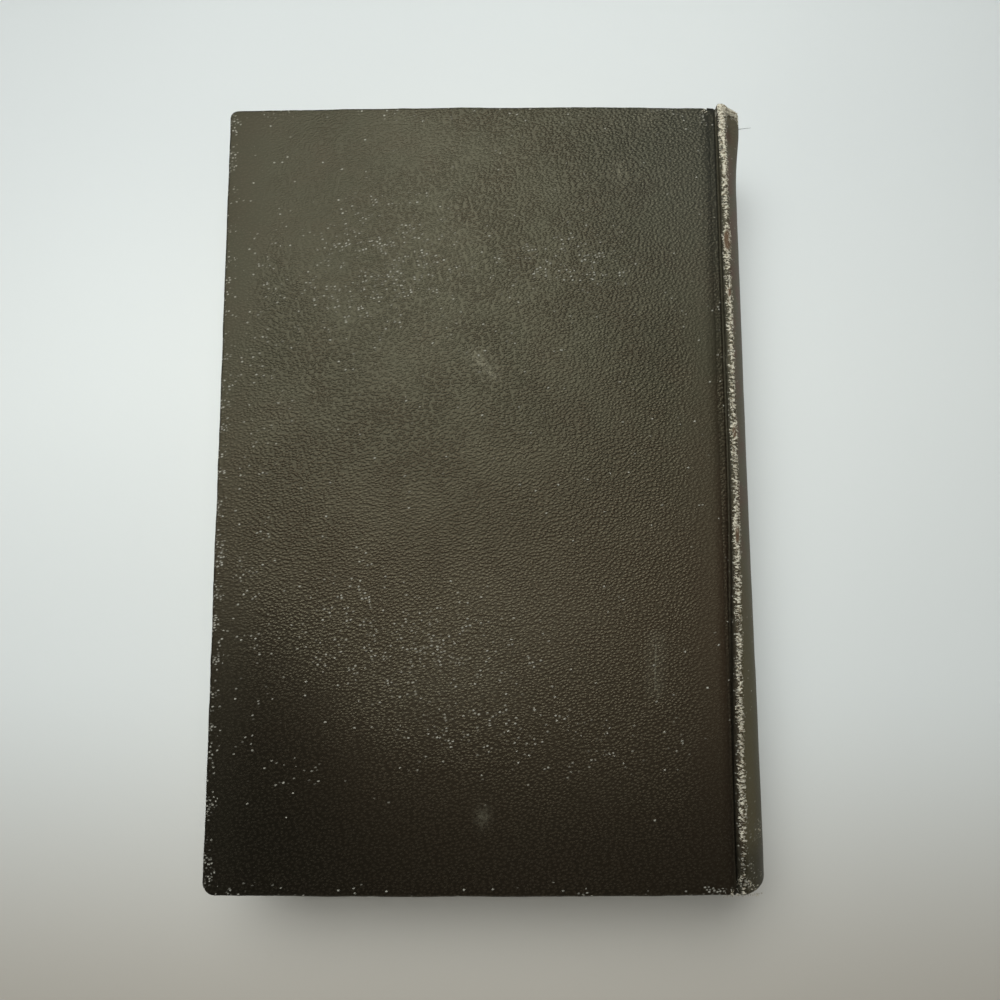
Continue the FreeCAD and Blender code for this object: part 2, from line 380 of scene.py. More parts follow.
def cloth_fields(g):
    """Values over the cloth that its colour and its relief share."""
    place = g.mark_vector("cloth")
    across, along = g.axes(place)[:2]
    drift = g.add("TexNoise", {"Vector": place, "Scale": 0.11, "Detail": 1.0}).outputs["Color"]
    drift = g.scaled(g.vectors("SUBTRACT", drift, (0.5, 0.5, 0.5)), ROW_DRIFT)
    bent = g.vectors("ADD", place, drift)
    cells = pebble_cells(g, bent)
    dome = dome_height(g, cells)
    beside = pebble_cells(g, g.vectors("ADD", bent, PAINTED_EMBOSS_STEP))
    crisp = g.step(g.noise(place, 0.05, 3.0, 0.6), 0.38, 0.56, 0.75, 1.0)
    flat = g.mark("flat")
    return SimpleNamespace(
        place=place, across=across, along=along, cells=cells, dome=dome, flat=flat, tone=g.mark("tone"),
        # painted emboss: the grain's height less its height a step towards the window, used as painted
        # light and shade
        slope=g.sum(dome, g.times(dome_height(g, beside), -1.0)),
        weave=g.noise(place, 3.6, 2.0, 0.6),
        crumble=g.noise(g.stretched(place, (0.5, 0.38, 1.0), -20), 1.0, 2.0, 0.6),
        patch=g.noise(place, 0.045, 3.0),
        relief=g.times(crisp, g.step(flat, 0.0, 1.0, 1.0, 0.12)),
    )


def cloth_colour(g, f):
    """Olive-brown, redder towards the tail, paler on the spine; painted shade in the grain's hollows,
    painted light on each pebble's side towards the window, a painted cool reflection near the head, and
    painted shade towards the tail and in the groove.
    """
    mottle = g.noise(f.place, 0.10, 4.0, 0.6)
    colour = g.mix(g.step(mottle, 0.30, 0.74), CLOTH_OLIVE, CLOTH_BROWN)
    colour = g.mix(g.step(f.along, 40, -30, 0.0, 0.85), colour, CLOTH_RUSSET)
    spine = g.mix(g.step(g.noise(f.place, 0.12, 3.0), 0.45, 0.6), SPINE_BROWN, SPINE_RED)
    spine = g.mix(g.step(f.along, 10, -45), spine, SPINE_OLIVE)
    colour = g.mix(g.mark("spine"), colour, spine)
    # grain texture plus painted shade in the hollows and painted light on the window side of each pebble
    grain_and_painted_relief = g.sum(
        g.step(f.dome, 0.0, 1.0, -0.24, 0.24),
        g.step(f.crumble, 0.35, 0.65, -0.08, 0.10),
        g.times(f.slope, g.step(f.along, -50, 40, 0.1, 1.0)),
    )
    colour = g.shade(g.sum(1.0, g.times(grain_and_painted_relief, f.relief)), colour)
    # painted cool reflection towards the head on the joint side
    painted_reflection = g.times(g.step(f.across, 5, 62, 0.0, 0.4), g.step(f.along, 20, 95))
    # painted shade: the colour dimmed towards the tail and in a few other places
    colour = g.shade(f.tone, g.mix(painted_reflection, colour, CLOTH_PAINTED_REFLECTION))
    # painted shade in the groove and beside the worn strip at the head
    return g.shade(g.step(g.mark("grime"), 0.0, 1.0, 1.0, 0.35), colour)


def rubbed_colour(g, f, colour):
    """Paler tops of the grain, smudges and fine scratches."""
    rub = g.times(f.dome, g.step(f.weave, 0.4, 0.7), g.step(f.patch, 0.3, 0.7, 0.245, 0.295))
    colour = g.mix(rub, colour, CLOTH_RUBBED)
    smeared = g.mark("smear")
    crumbs = g.noise(f.place, 0.9, 4.0, 0.7)
    smear = g.times(smeared, g.step(crumbs, 0.35, 0.65))
    for start, end, half_width in SCRATCHES:
        line = g.step(g.off_line(f.place, start, end), half_width, 2.2 * half_width, 1.0, 0.0)
        line = g.times(line, g.step(crumbs, 0.38, 0.56), g.step(smeared, 0.1, 0.3))
        smear = g.larger(smear, line)
    return g.mix(smear, colour, CLOTH_RUBBED)


def speck_mask(g, f):
    """Single pebbles worn pale, picked by chance."""
    pick = g.add("SeparateColor", {0: f.cells["Color"]}).outputs
    chance = g.times(g.mark("wear"), g.step(g.noise(f.place, 0.24, 2.0), 0.43, 0.63, 0.2, 2.7))
    chosen = g.maths("LESS_THAN", pick[0], chance)
    peak = g.step(g.sum(f.cells["Distance"], g.times(f.crumble, 0.5)), 0.38, 0.70, 1.0, 0.0)
    return g.times(chosen, peak, g.step(pick[1], 0.1, 1.1, 0.16, 1.0))


def bare_mask(g, f):
    """Ragged places where wear has laid the threads bare."""
    teeth = g.noise(g.stretched(f.place, (1.0, 0.5, 1.0), -6), 1.0, 3.0, 0.65)
    teeth = g.step(teeth, 0.34, 0.64, -0.9, 0.75)
    shred = g.step(g.noise(f.place, 0.55, 2.0), 0.3, 0.7, -0.35, 0.25)
    return g.step(g.sum(g.mark("bare"), teeth, shred), -0.06, 0.12)


def torn_colour(g, f):
    """Inside of a hole, with a few threads left across it."""
    strands = g.noise(g.stretched(f.place, (0.24, 1.6, 1.0), 4), 1.0, 2.0)
    return g.mix(g.step(strands, 0.60, 0.66), TORN_INSIDE, BARE_THREAD)


def cloth_material():
    g = material_graph("pebbled_cloth")
    f = cloth_fields(g)
    speck = speck_mask(g, f)
    laid_bare = bare_mask(g, f)
    threads = g.noise(g.stretched(f.place, (0.72, 0.5, 1.0), 10), 1.0, 3.0, 0.65)
    colour = rubbed_colour(g, f, cloth_colour(g, f))
    colour = g.mix(speck, colour, SPECK)
    colour = g.mix(laid_bare, colour, g.mix(g.step(threads, 0.40, 0.55), BARE_SHADE, BARE_THREAD))
    colour = g.mix(g.mark("torn"), colour, torn_colour(g, f))

    pressed = g.times(g.step(f.tone, 0.3, 0.95, 0.2, 1.0), g.step(f.along, -80, 10, 0.7, 1.0))
    grain = g.times(g.sum(f.dome, g.times(f.crumble, 0.5)), g.times(f.relief, pressed))
    normal = g.bump(g.sum(grain, g.times(f.weave, 0.06)), GRAIN_DEPTH)
    normal = g.bump(g.times(laid_bare, threads), THREAD_DEPTH, normal)
    worn = g.larger(laid_bare, speck, g.times(g.mark("grime"), 0.8))
    rough = g.sum(
        g.step(f.tone, 0.25, 1.0, 0.31, 0.42),
        g.step(worn, 0.0, 1.0, 0.0, 0.43),
        g.step(f.patch, 0.3, 0.7, -0.003, 0.004),
        g.times(g.mark("spine"), 0.16),
        g.times(f.flat, g.step(f.across, -5, -40, 0.0, 0.16)),
    )
    g.shader.inputs["Specular Tint"].default_value = CLOTH_SHEEN
    return g.finish(colour, rough, normal, CLOTH_SHINE)


# Paper: aged pages and endpapers

PAPER_PALE = (0.66, 0.59, 0.45, 1)
PAPER_AGED = (0.57, 0.49, 0.34, 1)
PAPER_BROWNED = (0.34, 0.24, 0.13, 1)
PAGE_PALE = (0.60, 0.52, 0.37, 1)
PAGE_DUSTY = (0.30, 0.24, 0.16, 1)
BROWNED_ENDS = 16.0
BROWNED_FORE = 14.0


def endpaper_material():
    g = material_graph("endpaper")
    place = g.place()
    x, y, z = g.axes(place)
    edge = g.step(g.maths("ABSOLUTE", y), PAGE_Y - BROWNED_ENDS, PAGE_Y)
    edge = g.larger(edge, g.step(x, PAGE_X + BROWNED_FORE, PAGE_X))
    cloudy = g.noise(place, 0.05, 4.0)
    fibre = g.noise(place, 2.2, 4.0, 0.7)
    colour = g.mix(g.step(cloudy, 0.3, 0.8, 0.0, 0.7), PAPER_PALE, PAPER_AGED)
    colour = g.mix(g.times(edge, g.step(cloudy, 0.2, 0.8, 0.3, 0.6)), colour, PAPER_BROWNED)
    spots = g.step(g.noise(place, 0.32, 3.0, 0.6), 0.69, 0.76, 0.0, 0.45)
    colour = g.mix(spots, colour, PAPER_BROWNED)
    colour = g.shade(g.step(fibre, 0.3, 0.7, 0.95, 1.04), colour)
    normal = g.bump(g.sum(fibre, g.times(cloudy, 2.0)), 0.03)
    return g.finish(colour, 0.82, normal, 0.3)


def page_edge_material():
    """Edges of the pages: fine leaf lines, dusty towards the head."""
    g = material_graph("page_edges")
    leaf = g.mark_vector("leaf")
    fine = g.noise(g.stretched(leaf, (30.0, 0.11, 1.0)), 1.0, 3.0, 0.7)
    broad = g.noise(g.stretched(leaf, (60.0, 1.1, 1.0)), 1.0, 3.0, 0.6)
    stain = g.noise(leaf, 0.09, 3.0)
    colour = g.mix(g.step(broad, 0.3, 0.7), PAGE_PALE, PAPER_AGED)
    colour = g.mix(g.times(g.mark("dust"), g.step(stain, 0.25, 0.75, 0.35, 0.75)), colour, PAGE_DUSTY)
    colour = g.shade(g.step(fine, 0.30, 0.46, 0.55, 1.0), colour)
    normal = g.bump(g.sum(fine, broad), 0.12)
    return g.finish(colour, 0.86, normal, 0.25)


# Materials of the inner pieces

MULL_PALE = (0.62, 0.56, 0.44, 1)
MULL_DARK = (0.30, 0.25, 0.17, 1)
MULL_PITCH = 0.9
GREY_PALE = (0.34, 0.30, 0.24, 1)
GREY_DARK = (0.20, 0.17, 0.13, 1)
KRAFT_PALE = (0.42, 0.30, 0.18, 1)
KRAFT_DARK = (0.30, 0.20, 0.11, 1)
BAND_PALE = (0.56, 0.49, 0.35, 1)
BAND_DARK = (0.20, 0.15, 0.09, 1)
BAND_PITCH = 0.42


def woven_material(name, pale, dark, pitch):
    """Plain weave: two crossed sets of threads."""
    g = material_graph(name)
    place = g.place()
    x, y, z = g.axes(place)
    turn = 2 * pi / pitch
    thread = g.larger(g.maths("SINE", g.times(y, turn)), g.maths("SINE", g.times(g.sum(x, z), turn)))
    cloudy = g.noise(place, 0.3, 3.0)
    colour = g.mix(g.step(thread, 0.0, 0.9), dark, pale)
    colour = g.shade(g.step(cloudy, 0.3, 0.7, 0.8, 1.1), colour)
    return g.finish(colour, 0.85, g.bump(thread, 0.06), 0.3)


def board_material(name, pale, dark):
    """Grey or brown pulp board with flecks."""
    g = material_graph(name)
    place = g.place()
    pulp = g.noise(g.stretched(place, (1.0, 1.0, 0.25)), 1.1, 4.0, 0.7)
    fleck = g.step(g.noise(place, 2.6, 2.0), 0.66, 0.74, 0.0, 0.6)
    colour = g.mix(g.step(pulp, 0.3, 0.7), dark, pale)
    colour = g.mix(fleck, colour, dark)
    return g.finish(colour, 0.9, g.bump(pulp, 0.08), 0.2)


def band_material():
    """Thread wound round the head and tail bands."""
    g = material_graph("wound_thread")
    place = g.place()
    x, y, z = g.axes(place)
    slant = g.sum(z, g.times(x, 0.35))
    wind = g.maths("SINE", g.times(slant, 2 * pi / BAND_PITCH))
    stain = g.noise(place, 0.8, 3.0)
    colour = g.mix(g.step(wind, -0.9, 0.5), BAND_DARK, BAND_PALE)
    colour = g.shade(g.step(stain, 0.3, 0.7, 0.7, 1.05), colour)
    return g.finish(colour, 0.8, g.bump(wind, 0.08), 0.3)


def thread_material(name, dark, pale):
    g = material_graph(name)
    place = g.place()
    colour = g.mix(g.step(g.noise(place, 1.6, 2.0), 0.3, 0.65), dark, pale)
    return g.finish(colour, 0.9, g.bump(g.noise(place, 9.0, 2.0), 0.03), 0.2)


CLOTH_MATERIAL = cloth_material()
ENDPAPER_MATERIAL = endpaper_material()
THREAD_MATERIAL = thread_material("frayed_thread", BARE_SHADE, BARE_THREAD)
MULL_MATERIAL = woven_material("mull", MULL_PALE, MULL_DARK, MULL_PITCH)


# Where the cloth has worn, and where shade is painted on it, in millimetres on the book

SPECK_PATCHES = (
    # place, reach, strength: clusters of rubbed grain on the back cover
    ((-28, 55), (17, 14), 0.26),
    ((22, 56), (13, 6), 0.22),
    ((-17, -41), (19, 8), 0.22),
    ((-33, -29), (8, 7), 0.12),
    ((-46, -70), (9, 2.5), 0.12),
    ((-4, -60), (14, 6), 0.14),
    ((24, -63), (17, 5), 0.08),
    ((-58, 25), (6, 40), 0.06),
    ((-58, -30), (5, 22), 0.05),
)
SMEARS = (
    # place, reach, strength: smudges on the back cover
    ((-1.4, 29.3), (3.4, 3.4), 0.34),
    ((-1.2, -79.5), (1.6, 2.2), 0.8),
    ((2, -33), (24, 12), 0.24),
    ((-11, -50), (20, 9), 0.26),
)


def edge_distance(x, y):
    """Distance in from a cover's outline, without its joint edge."""
    return min(x - FORE_X, HALF_HEIGHT - abs(y))


def near_line(x, y, start, end):
    ax, ay = start
    bx, by = end
    t = clamp(((x - ax) * (bx - ax) + (y - ay) * (by - ay)) / ((bx - ax) ** 2 + (by - ay) ** 2))
    away = hypot(x - ax - t * (bx - ax), y - ay - t * (by - ay))
    return 1 - smooth(away, 1.5, 3.0)


def speck_density(side, x, y):
    """Share of the grain that shows a pale worn peak."""
    density = 0.007 * smooth(y, -88, -60)
    if side == "back":
        for place, reach, strength in SPECK_PATCHES:
            density += strength * spot(x, y, place, reach)
    else:
        density += 0.14 * smooth(ripple(x, y, 34, 7.3), 0.1, 0.6)
    rim = edge_distance(x, y)
    at_fore = 1 - smooth(x - FORE_X, 0.5, 2.0)
    at_corner = 1 - smooth(x - FORE_X, 4, 22)
    at_rim = (0.10 + 0.35 * at_corner) * (1 - smooth(rim, 0.2, 2.2))
    density += at_rim * (0.7 + 0.6 * ripple(x, y, 9, 2.1))
    density += 0.34 * at_fore * (0.8 + 0.5 * ripple(x, y, 14, 6.6))
    at_tail = 1 - smooth(y, -HALF_HEIGHT + 0.6, -HALF_HEIGHT + 3.5)
    density += 0.5 * at_tail * smooth(x, JOINT_X - 13, JOINT_X - 2)
    at_head = smooth(y, HALF_HEIGHT - 9, HALF_HEIGHT - 2)
    density += 0.22 * at_head * smooth(x, JOINT_X - 12, JOINT_X - 3)
    return clamp(density, 0.0, 0.8)


def smear_amount(side, x, y):
    amount = 0.0
    if side == "back":
        for place, reach, strength in SMEARS:
            amount += strength * spot(x, y, place, reach)
        for start, end, _ in SCRATCHES:
            amount += 0.32 * near_line(x, y, start, end)
    return clamp(amount)


def flatness(x, y):
    """How far the grain has been pressed and rubbed smooth."""
    beside_joint = smooth(x, JOINT_X - 17 + 5 * ripple(x, y, 14, 3.3), JOINT_X - 2)
    fore = 1 - smooth(x, FORE_X + 2, FORE_X + 14 + 4 * ripple(x, y, 20, 5.9))
    beside_joint *= 0.75 - 0.5 * smooth(y, 30, 80)
    rubbed = 0.5 * spot(x, y, (-50, 85), (62, 60)) * (1.0 + 0.3 * ripple(x, y, 12, 8.2))
    return clamp(beside_joint + 0.45 * fore + rubbed)


def cover_painted_light_level(x, y):
    """Painted shade: the cloth darker towards the tail, most at the fore edge, and a little darker near
    the head at the fore edge and towards the joint.
    """
    inward = smooth(x, FORE_X, FORE_X + 45)
    tailward = smooth(-y, blend(-15, 30, inward), blend(86, 101, inward))
    foreward = 1 - smooth(x, FORE_X, 5)
    corner = (1 - smooth(x, FORE_X, FORE_X + 30)) * smooth(y, 15, 60)
    head = 0.25 * smooth(x, 0, 50) * smooth(y, 65, 95)
    return 1.0 - 0.62 * tailward - 0.22 * foreward * smooth(-y, -5, 50) - 0.15 * corner - head


def groove_painted_shade(y):
    """Painted shade in the groove, less towards the head."""
    return 1.0 - 0.75 * smooth(y, -60, 30)


FULL_LIFT = 2.2


def groove_lift(y):
    """The groove is shallow near the head, and folded cloth fills its ends."""
    return min(0.4 + 1.8 * smooth(y, -60, 5) + 1.1 * smooth(abs(y), 89, 96.5), FULL_LIFT)


def edge_bareness(x, y):
    """Millimetres inside a place worn to the threads: three corners of a cover."""
    tail_fore = 0.9 - hypot(x - FORE_X - 0.6, y + HALF_HEIGHT - 0.6)
    head_joint = 1.5 - hypot(x - JOINT_X + 0.4, y - HALF_HEIGHT)
    tail_joint = 1.2 - hypot(x - JOINT_X + 0.2, y + HALF_HEIGHT)
    return max(tail_fore, head_joint, tail_joint, -2.0) - 0.35


# Covers

CORNER_BLOCK = 3.5
INNER_FORE = FORE_X + CORNER_BLOCK
INNER_JOINT = JOINT_X - CORNER_BLOCK
INNER_HALF = HALF_HEIGHT - CORNER_BLOCK
GRID_STEP = 1.0
GRID_ACROSS = round((INNER_JOINT - INNER_FORE) / GRID_STEP)
GRID_ALONG = round(2 * INNER_HALF / GRID_STEP)
ARC_STEPS = 7
TOP_RINGS = 11
UNDER_STEPS = 4

# Width and drop of the rounded edge, plain and rolled into the groove, and the rounding under it
EDGE_WIDTH = 0.7
EDGE_DROP = 0.6
ROLL_WIDTH = 2.6
ROLL_DROP_DEEP = 0.75
ROLL_DROP_SHALLOW = 0.32
UNDER_ROUND = 0.75
UNDER_ROUND_JOINT = 0.4


def outline_points():
    """Points round a cover, each as place, outward normal and the inner frame's point it leads to."""
    tail, head = -HALF_HEIGHT, HALF_HEIGHT
    corners = ((FORE_X, tail), (JOINT_X, tail), (JOINT_X, head), (FORE_X, head))
    way = Vector((1, 0))
    found = []
    for index in range(4):
        after = (index + 1) % 4
        start = Vector(corners[index])
        end = Vector(corners[after])
        turn = way.orthogonal()
        normal = -turn
        length = (end - start).length - 2 * CORNER_BLOCK
        count = round(length / GRID_STEP)
        for gone in spaced(CORNER_BLOCK, CORNER_BLOCK + length, count):
            place = start + way * gone
            found.append((place, normal, place - normal * CORNER_BLOCK))
        radius = CORNER_RADII[after]
        middle = end - way * radius + turn * radius
        inner = end - way * CORNER_BLOCK + turn * CORNER_BLOCK
        for angle in spaced(0, QUARTER, ARC_STEPS):
            outward = normal * cos(angle) + way * sin(angle)
            found.append((middle + outward * radius, outward, inner))
        way = turn
    return found


def edge_profile(normal, y):
    """Inset and depth of each ring, from the outer face over the edge to the inner face."""
    joint = clamp(normal.x)
    between_turn_ins = joint * smooth(HALF_HEIGHT - TURN_IN - abs(y), -0.5, 0.5)
    foot = blend(TURN_IN_FOOT, BOARD_FOOT, between_turn_ins)
    under = blend(UNDER_ROUND, UNDER_ROUND_JOINT, joint)
    drop = blend(ROLL_DROP_DEEP, ROLL_DROP_SHALLOW, groove_lift(y) / FULL_LIFT)
    rings = []
    for angle in spaced(0, QUARTER, TOP_RINGS - 1):
        inset = 1 - sin(angle)
        sunk = 1 - cos(angle)
        rings.append((blend(EDGE_WIDTH * inset, ROLL_WIDTH * inset, joint),
                      blend(EDGE_DROP * sunk, drop * sunk, joint)))
    rings.append((0.0, blend(rings[-1][1], foot - under, 0.5)))
    for angle in spaced(0, QUARTER, UNDER_STEPS):
        rings.append((under * (1 - cos(angle)), foot - under * (1 - sin(angle))))
    rings.append((CORNER_BLOCK - 0.1, foot))
    return rings


def edge_wobble(side, place):
    """Small knocks along a cover's edge."""
    seed = 1.7 if side == "back" else 8.4
    along = ripple(place.x, place.y, 11, seed) * 0.16 + ripple(place.x, place.y, 2.2, seed) * 0.07
    return along - 0.04


def face_wave(side, x, y):
    """Gentle unevenness of a cover's outer face."""
    if side == "front":
        return 0.0
    inside = smooth(min(edge_distance(x, y), JOINT_X - x), 1.0, 8.0)
    return inside * (0.04 * ripple(x, y, 30, 4.4) + 0.02 * ripple(x, y, 9, 6.1))


def gathered(found, cloth):
    """One list for each mark, from the marks of each point and the points' places on the cloth."""
    return {mark: [marks[mark] for marks in found] for mark in found[0]} | {"cloth": cloth}


def cover_wear(side, x, y):
    """Marks of wear and painted shade at a place on a cover."""
    return {
        "wear": speck_density(side, x, y),
        "flat": flatness(x, y),
        "bare": edge_bareness(x, y),
        "torn": 0.0,
        "smear": smear_amount(side, x, y),
        "spine": 0.0,
        # painted shade where the cover's edge rolls into the groove
        "grime": 0.3 * smooth(x, JOINT_X - 2.0, JOINT_X) * groove_painted_shade(y),
        # painted shade over the cover
        "tone": cover_painted_light_level(x, y),
    }


def cover_rings(side, outline):
    """Rings round a cover's edge, from the outer to the inner face: points, places on the cloth, faces."""
    profiles = [edge_profile(normal, place.y) for place, normal, inner in outline]
    points = []
    cloth = []
    for ring in range(len(profiles[0])):
        for (place, normal, inner), profile in zip(outline, profiles):
            inset, depth = profile[ring]
            start = profile[0][0]
            reach = (place - inner).length
            shift = edge_wobble(side, place) * clamp(1 - inset / 2)
            found = place.lerp(inner, inset / reach) + normal * shift
            points.append((found.x, found.y, level(side, found.x, depth)))
            gone = hypot(start - inset, depth) + (2 * inset if ring > TOP_RINGS else 0)
            laid = place.lerp(inner, start / reach) + normal * gone
            cloth.append((laid.x, laid.y, 0.0))
    faces = grid_faces(len(profiles[0]), len(outline), closed=True)
    return points, cloth, [face[::-1] for face in faces]


def grid_index(inner):
    """Number of the face's grid point at a place on the grid's border."""
    column = round((inner.x - INNER_FORE) / (INNER_JOINT - INNER_FORE) * GRID_ACROSS)
    row = round((inner.y + INNER_HALF) / (2 * INNER_HALF) * GRID_ALONG)
    return row * (GRID_ACROSS + 1) + column


def cover_cloth(side):
    """Cloth of one cover: crowned face, rolled edges and turned-in rim."""
    outline = outline_points()
    points, cloth, faces = cover_rings(side, outline)
    first = len(points)
    outward = 1 if side == "back" else -1
    for y in spaced(-INNER_HALF, INNER_HALF, GRID_ALONG):
        for x in spaced(INNER_FORE, INNER_JOINT, GRID_ACROSS):
            points.append((x, y, level(side, x, 0) + outward * face_wave(side, x, y)))
            cloth.append((x, y, 0.0))
    faces += grid_faces(GRID_ALONG + 1, GRID_ACROSS + 1, first=first)

    rims = [first + grid_index(inner) for place, normal, inner in outline]
    for index, rim in enumerate(rims):
        beside = (index + 1) % len(rims)
        face = (rim, rims[beside], beside, index)
        if face[0] == face[1]:
            face = face[1:]
        faces.append(face[::-1])

    marks = gathered([cover_wear(side, x, y) for x, y, z in points], cloth)
    piece = add_piece(side + "_cover_cloth", points, faces, CLOTH_MATERIAL, marks, flip=side == "front")
    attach(piece, side + "_cover")
    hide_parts(side + "_cloth")


# Spine cloth

RIDGE_X = JOINT_X + GROOVE_WIDTH + RIDGE_RADIUS
RIDGE_Z = MID_Z - RIDGE_DROP - RIDGE_RADIUS
RIDGE_BULGE = SPINE_X - RIDGE_RADIUS - RIDGE_X
SPINE_RADIUS = (RIDGE_Z ** 2 + RIDGE_BULGE ** 2) / (2 * RIDGE_BULGE)
SPINE_CENTRE_X = RIDGE_X + RIDGE_BULGE - SPINE_RADIUS
WALL_X = RIDGE_X - RIDGE_RADIUS
GROOVE_START_X = JOINT_X + 0.6
GROOVE_FILLET = 1.1


def arc(x, z, radius, angles):
    """Points round a centre, each with its outward direction."""
    ways = [(cos(angle), sin(angle)) for angle in angles]
    return [(x + radius * across, z + radius * up, across, up) for across, up in ways]


def spine_profile():
    """Outer line of the spine cloth, from the back groove to the front one, with outward directions."""
    lean = atan2(RIDGE_Z, RIDGE_X - SPINE_CENTRE_X)
    groove_z = level("back", WALL_X, GROOVE_DEPTH) - MID_Z
    line = [(GROOVE_START_X, groove_z, 0.0, 1.0)]
    for angle in spaced(0, QUARTER, 4):
        x = WALL_X - GROOVE_FILLET + GROOVE_FILLET * sin(angle)
        z = groove_z + GROOVE_FILLET - GROOVE_FILLET * cos(angle)
        line.append((x, z, -sin(angle), cos(angle)))
    line += [(WALL_X, z, -1.0, 0.0) for z in spaced(groove_z + GROOVE_FILLET, RIDGE_Z, 5)[1:-1]]
    line += arc(RIDGE_X, RIDGE_Z, RIDGE_RADIUS, spaced(pi, lean, 14))
    reach = SPINE_RADIUS + RIDGE_RADIUS
    line += arc(SPINE_CENTRE_X, 0.0, reach, spaced(lean, 0.0, 25)[1:])
    mirrored = [(x, -z, across, -up) for x, z, across, up in line[:-1]]
    return line + mirrored[::-1]


def along_lengths(line):
    """Distance along the profile, zero on top of the back ridge."""
    lengths = [0.0]
    for before, after in zip(line, line[1:]):
        lengths.append(lengths[-1] + hypot(after[0] - before[0], after[1] - before[1]))
    top = max(range(len(line)), key=lambda index: line[index][1])
    return [length - lengths[top] for length in lengths]


def spine_skew(x, y):
    """Towards the tail the ridges lean in and the back of the spine stands out."""
    tailward = 1 - smooth(y, -92, 10)
    back = smooth(x, RIDGE_X, SPINE_X - 1)
    return blend(-1.4 * tailward, 0.4 + 0.5 * tailward, back)


def spine_end(x, way):
    """How far the spine cloth reaches towards head (way 1) or tail (way -1), its ends rounded in plan."""
    corner = SPINE_CORNER_HEAD if way > 0 else SPINE_CORNER_TAIL
    past = clamp(x - (SPINE_X - corner), 0.0, corner)
    return HALF_HEIGHT - corner + sqrt(corner ** 2 - past ** 2)


def head_cap(x):
    """The frayed cap at the head stands a little beyond the cover."""
    less = 0.5 * smooth(x, SPINE_X - 3, SPINE_X)
    return 1.2 * smooth(x, RIDGE_X - 1.8, RIDGE_X - 1.3) * (1 - less)


def cap_swell(x, y, z):
    """Near the head the upper side of the spine swells out square."""
    past_ridge = 0.7 * (SPINE_X - x) * smooth(x, RIDGE_X + 1.5, RIDGE_X + 4)
    return past_ridge * smooth(y, 78, 95) * smooth(z, 2, 7)


TORN_SPOTS = (
    # place along the book, half length, half width: holes in the worn ridge
    (61.6, 3.1, 1.05),
    (47.8, 1.3, 0.50),
    (11.9, 1.7, 0.50),
    (-13.6, 2.4, 0.55),
)
# Place along the book and half length of each gap in the pale strip, and the scuff on the spine's tail
STRIP_GAPS = ((66.4, 0.9), (53.1, 1.0), (-35.0, 1.2), (-86.8, 0.9))
TAIL_SCUFF = (6.5, -84)
HALF_ROWS = 196
FOLD_STEPS = 8


def strip_centre(y):
    """Middle of the worn strip, measured from the top of the ridge."""
    return 0.1 - 0.4 * smooth(y, 82, 92) + 0.15 * ripple(y, 0, 17, 6.6)


def strip_bareness(along, y, strength):
    """Millimetres inside the pale strip that wear has left along a ridge."""
    ragged = 0.16 * ripple(y, 0, 13, 3.1) + 0.12 * ripple(y, 0, 4, 9.4)
    half = 0.50 + 0.55 * smooth(y, 72, 95) + ragged
    half -= 0.55 * (1 - smooth(y, -92, -82))
    for place, reach in STRIP_GAPS:
        half -= 0.7 * spot(0, y, (0, place), (1, reach))
    for place, length, width in TORN_SPOTS:
        half += 0.75 * width * spot(0, y, (0, place), (1, 1.2 * length))
    return half * strength - abs(along - strip_centre(y))


def end_fray(along, nearest, rim, y):
    """Millimetres inside the frayed ends of the spine."""
    if y > 0:
        fray = 1.7 - rim - 0.16 * max(0.0, nearest - 1.5)
        return fray - 3.0 * (1 - smooth(nearest, -2.6, -1.6))
    fray = -0.35 - 0.07 * rim - 0.08 * max(0.0, nearest - 2.5)
    return max(fray, 0.9 * spot(along, y, (5.6, -84), (2.2, 3.4)) - 1.25)


def spine_wear(along, other, x, y):
    """Marks of wear and painted shade on the spine; along and other are the distances past its back and
    front ridges.
    """
    nearest = min(along, other)
    rim = spine_end(x, y) - abs(y)
    bare = max(strip_bareness(along, y, 1.0), strip_bareness(other, -y, 0.55))
    torn = max(spot(along, y, (0.1, place), (width, length)) for place, length, width in TORN_SPOTS)
    density = 0.02 + (0.5 if y > 0 else 0.22) * (1 - smooth(rim, 0.3, 3.5))
    density += 0.5 * spot(along, y, TAIL_SCUFF, (3.0, 2.6))
    density += 0.25 * (1 - smooth(abs(along), 0.8, 1.9))
    # painted shade in the groove, up to the ridges
    painted_groove_shade = (1 - smooth(nearest, -1.2, -0.1)) * max(groove_painted_shade(y), 0.8)
    # painted shade: the spine darker towards the tail away from its ridges, darker still across its last
    # few millimetres
    tone = 1.0 - 0.35 * smooth(-y, 30, 95) * smooth(nearest, 3.0, 7.0)
    return {
        "wear": clamp(density),
        "flat": 0.9,
        "bare": max(bare, end_fray(along, nearest, rim, y), -3.0),
        "torn": smooth(torn, 0.35, 0.6),
        "smear": 0.55 * spot(along, y, TAIL_SCUFF, (3.2, 2.8)) + 0.2,
        "spine": smooth(along, -0.2, 1.2),
        # painted shade: the groove, and a dark patch beside the strip at the head
        "grime": max(painted_groove_shade, 0.6 * spot(along, y, (2.2, 91), (1.0, 4.0))),
        "tone": tone * (1 - 0.6 * smooth(-y, 83, 91)),
    }


def spine_rows(fold):
    """Rows from tail to head: share of the length, reach past it and depth, with a fold at each end."""
    rows = [(step / HALF_ROWS, 0.0, 0.0) for step in range(-HALF_ROWS, HALF_ROWS + 1)]
    head = []
    for angle in spaced(0, pi, FOLD_STEPS)[1:]:
        head.append((1.0, sin(angle) * fold, (1 - cos(angle)) * fold))
    head.append((1.0, -TURN_IN * 0.6, 2 * fold))
    tail = [(-share, -beyond, sunk) for share, beyond, sunk in head]
    return tail[::-1] + rows + head


